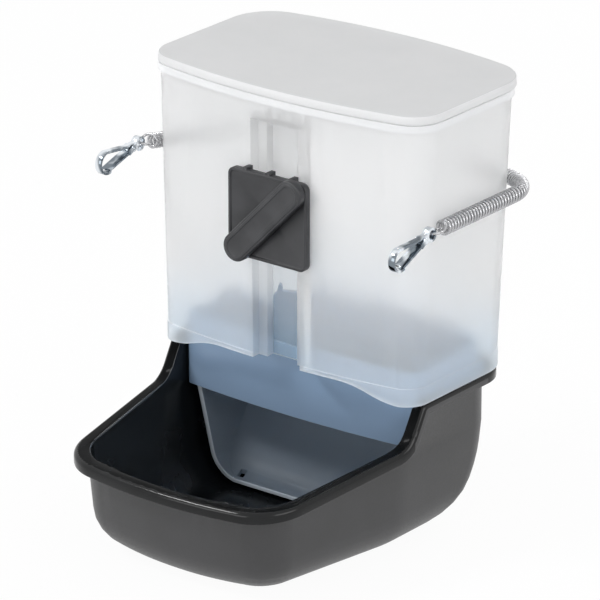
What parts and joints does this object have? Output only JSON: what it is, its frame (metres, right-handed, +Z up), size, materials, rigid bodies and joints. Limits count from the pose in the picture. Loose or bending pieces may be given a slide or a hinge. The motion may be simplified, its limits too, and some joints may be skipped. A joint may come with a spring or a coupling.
{
  "type": "rodent feeder",
  "caption": "Gravity feeder with a lidded frosted hopper over an open black trough, a clear scoop insert, a front screw clamp and sprung snap hooks.",
  "frame": {"origin": "middle of the trough's flat underside", "axes": "+Z up, the open trough faces -Y, +X to the right as seen from the front"},
  "size_m": [0.1578, 0.1722, 0.1986],
  "materials": {
    "black_plastic": "glossy inside and on the rim, satin outside",
    "smoky_plastic": "clear, smoky blue",
    "frosted_plastic": "milky, see-through at close range",
    "white_plastic": "satin",
    "clamp_plastic": "satin",
    "zinc_steel": "zinc plated",
    "spring_steel": "zinc plated",
    "hook_steel": "bright plated"
  },
  "bodies": {
    "trough": {"trough": "black_plastic"},
    "insert": {"feed_insert": "smoky_plastic"},
    "container": {"container": "frosted_plastic", "nut_washer": "zinc_steel", "clamp_nut": "zinc_steel", "spring_left": "spring_steel", "spring_right": "spring_steel", "spring_rear_loop_left": "spring_steel", "spring_rear_loop_right": "spring_steel"},
    "lid": {"lid": "white_plastic"},
    "clamp_plate": {"clamp_plate": "clamp_plastic"},
    "clamp_lever": {"clamp_lever": "clamp_plastic", "clamp_stud": "zinc_steel"},
    "spring_end_left": {"spring_front_loop_left": "spring_steel"},
    "hook_left": {"hook_left": "hook_steel"},
    "gate_left": {"hook_gate_left": "hook_steel", "gate_pin_left": "hook_steel"},
    "spring_end_right": {"spring_front_loop_right": "spring_steel"},
    "hook_right": {"hook_right": "hook_steel"},
    "gate_right": {"hook_gate_right": "hook_steel", "gate_pin_right": "hook_steel"}
  },
  "joints": [
    {"name": "container_lift", "type": "slide", "parent": "trough", "child": "container", "axis": [0, 0, 1], "range_m": [0, 0.132]},
    {"name": "insert_lift", "type": "slide", "parent": "trough", "child": "insert", "axis": [0, 0, 1], "range_m": [0, 0.066]},
    {"name": "lid_lift", "type": "slide", "parent": "container", "child": "lid", "axis": [0, 0, 1], "range_m": [0, 0.04]},
    {"name": "plate_slide", "type": "slide", "parent": "container", "child": "clamp_plate", "axis": [0, -1, 0], "range_m": [0, 0.00458]},
    {"name": "lever_turn", "type": "hinge", "parent": "clamp_plate", "child": "clamp_lever", "pos_m": [0, -0.00146, 0.142], "axis": [0, -1, 0], "range_deg": [0, 660]},
    {"name": "spring_stretch_left", "type": "slide", "parent": "container", "child": "spring_end_left", "axis": [0, -1, 0], "range_m": [0, 0.04], "stiffness_N_per_m": 100, "deforming": ["spring_left"]},
    {"name": "hook_swing_left", "type": "hinge", "parent": "spring_end_left", "child": "hook_left", "pos_m": [-0.07513, 0.00064, 0.15773], "axis": [1, 0, 0], "range_deg": [-30, 30]},
    {"name": "gate_open_left", "type": "hinge", "parent": "hook_left", "child": "gate_left", "pos_m": [-0.07513, -0.00533, 0.15721], "axis": [-1, 0, 0], "range_deg": [0, 14], "stiffness_Nm_per_rad": 0.02, "springref_deg": -11.46},
    {"name": "spring_stretch_right", "type": "slide", "parent": "container", "child": "spring_end_right", "axis": [0, -1, 0], "range_m": [0, 0.04], "stiffness_N_per_m": 100, "deforming": ["spring_right"]},
    {"name": "hook_swing_right", "type": "hinge", "parent": "spring_end_right", "child": "hook_right", "pos_m": [0.07513, 0.0068, 0.149], "axis": [1, 0, 0], "range_deg": [-30, 30]},
    {"name": "gate_open_right", "type": "hinge", "parent": "hook_right", "child": "gate_right", "pos_m": [0.07513, 0.00091, 0.14785], "axis": [-1, 0, 0], "range_deg": [0, 14], "stiffness_Nm_per_rad": 0.02, "springref_deg": -11.46}
  ],
  "couplings": [
    {"joint": "insert_lift", "follows": "container_lift", "ratio": 0.5},
    {"joint": "lever_turn", "follows": "plate_slide", "rad_per_m": 2513.3}
  ]
}
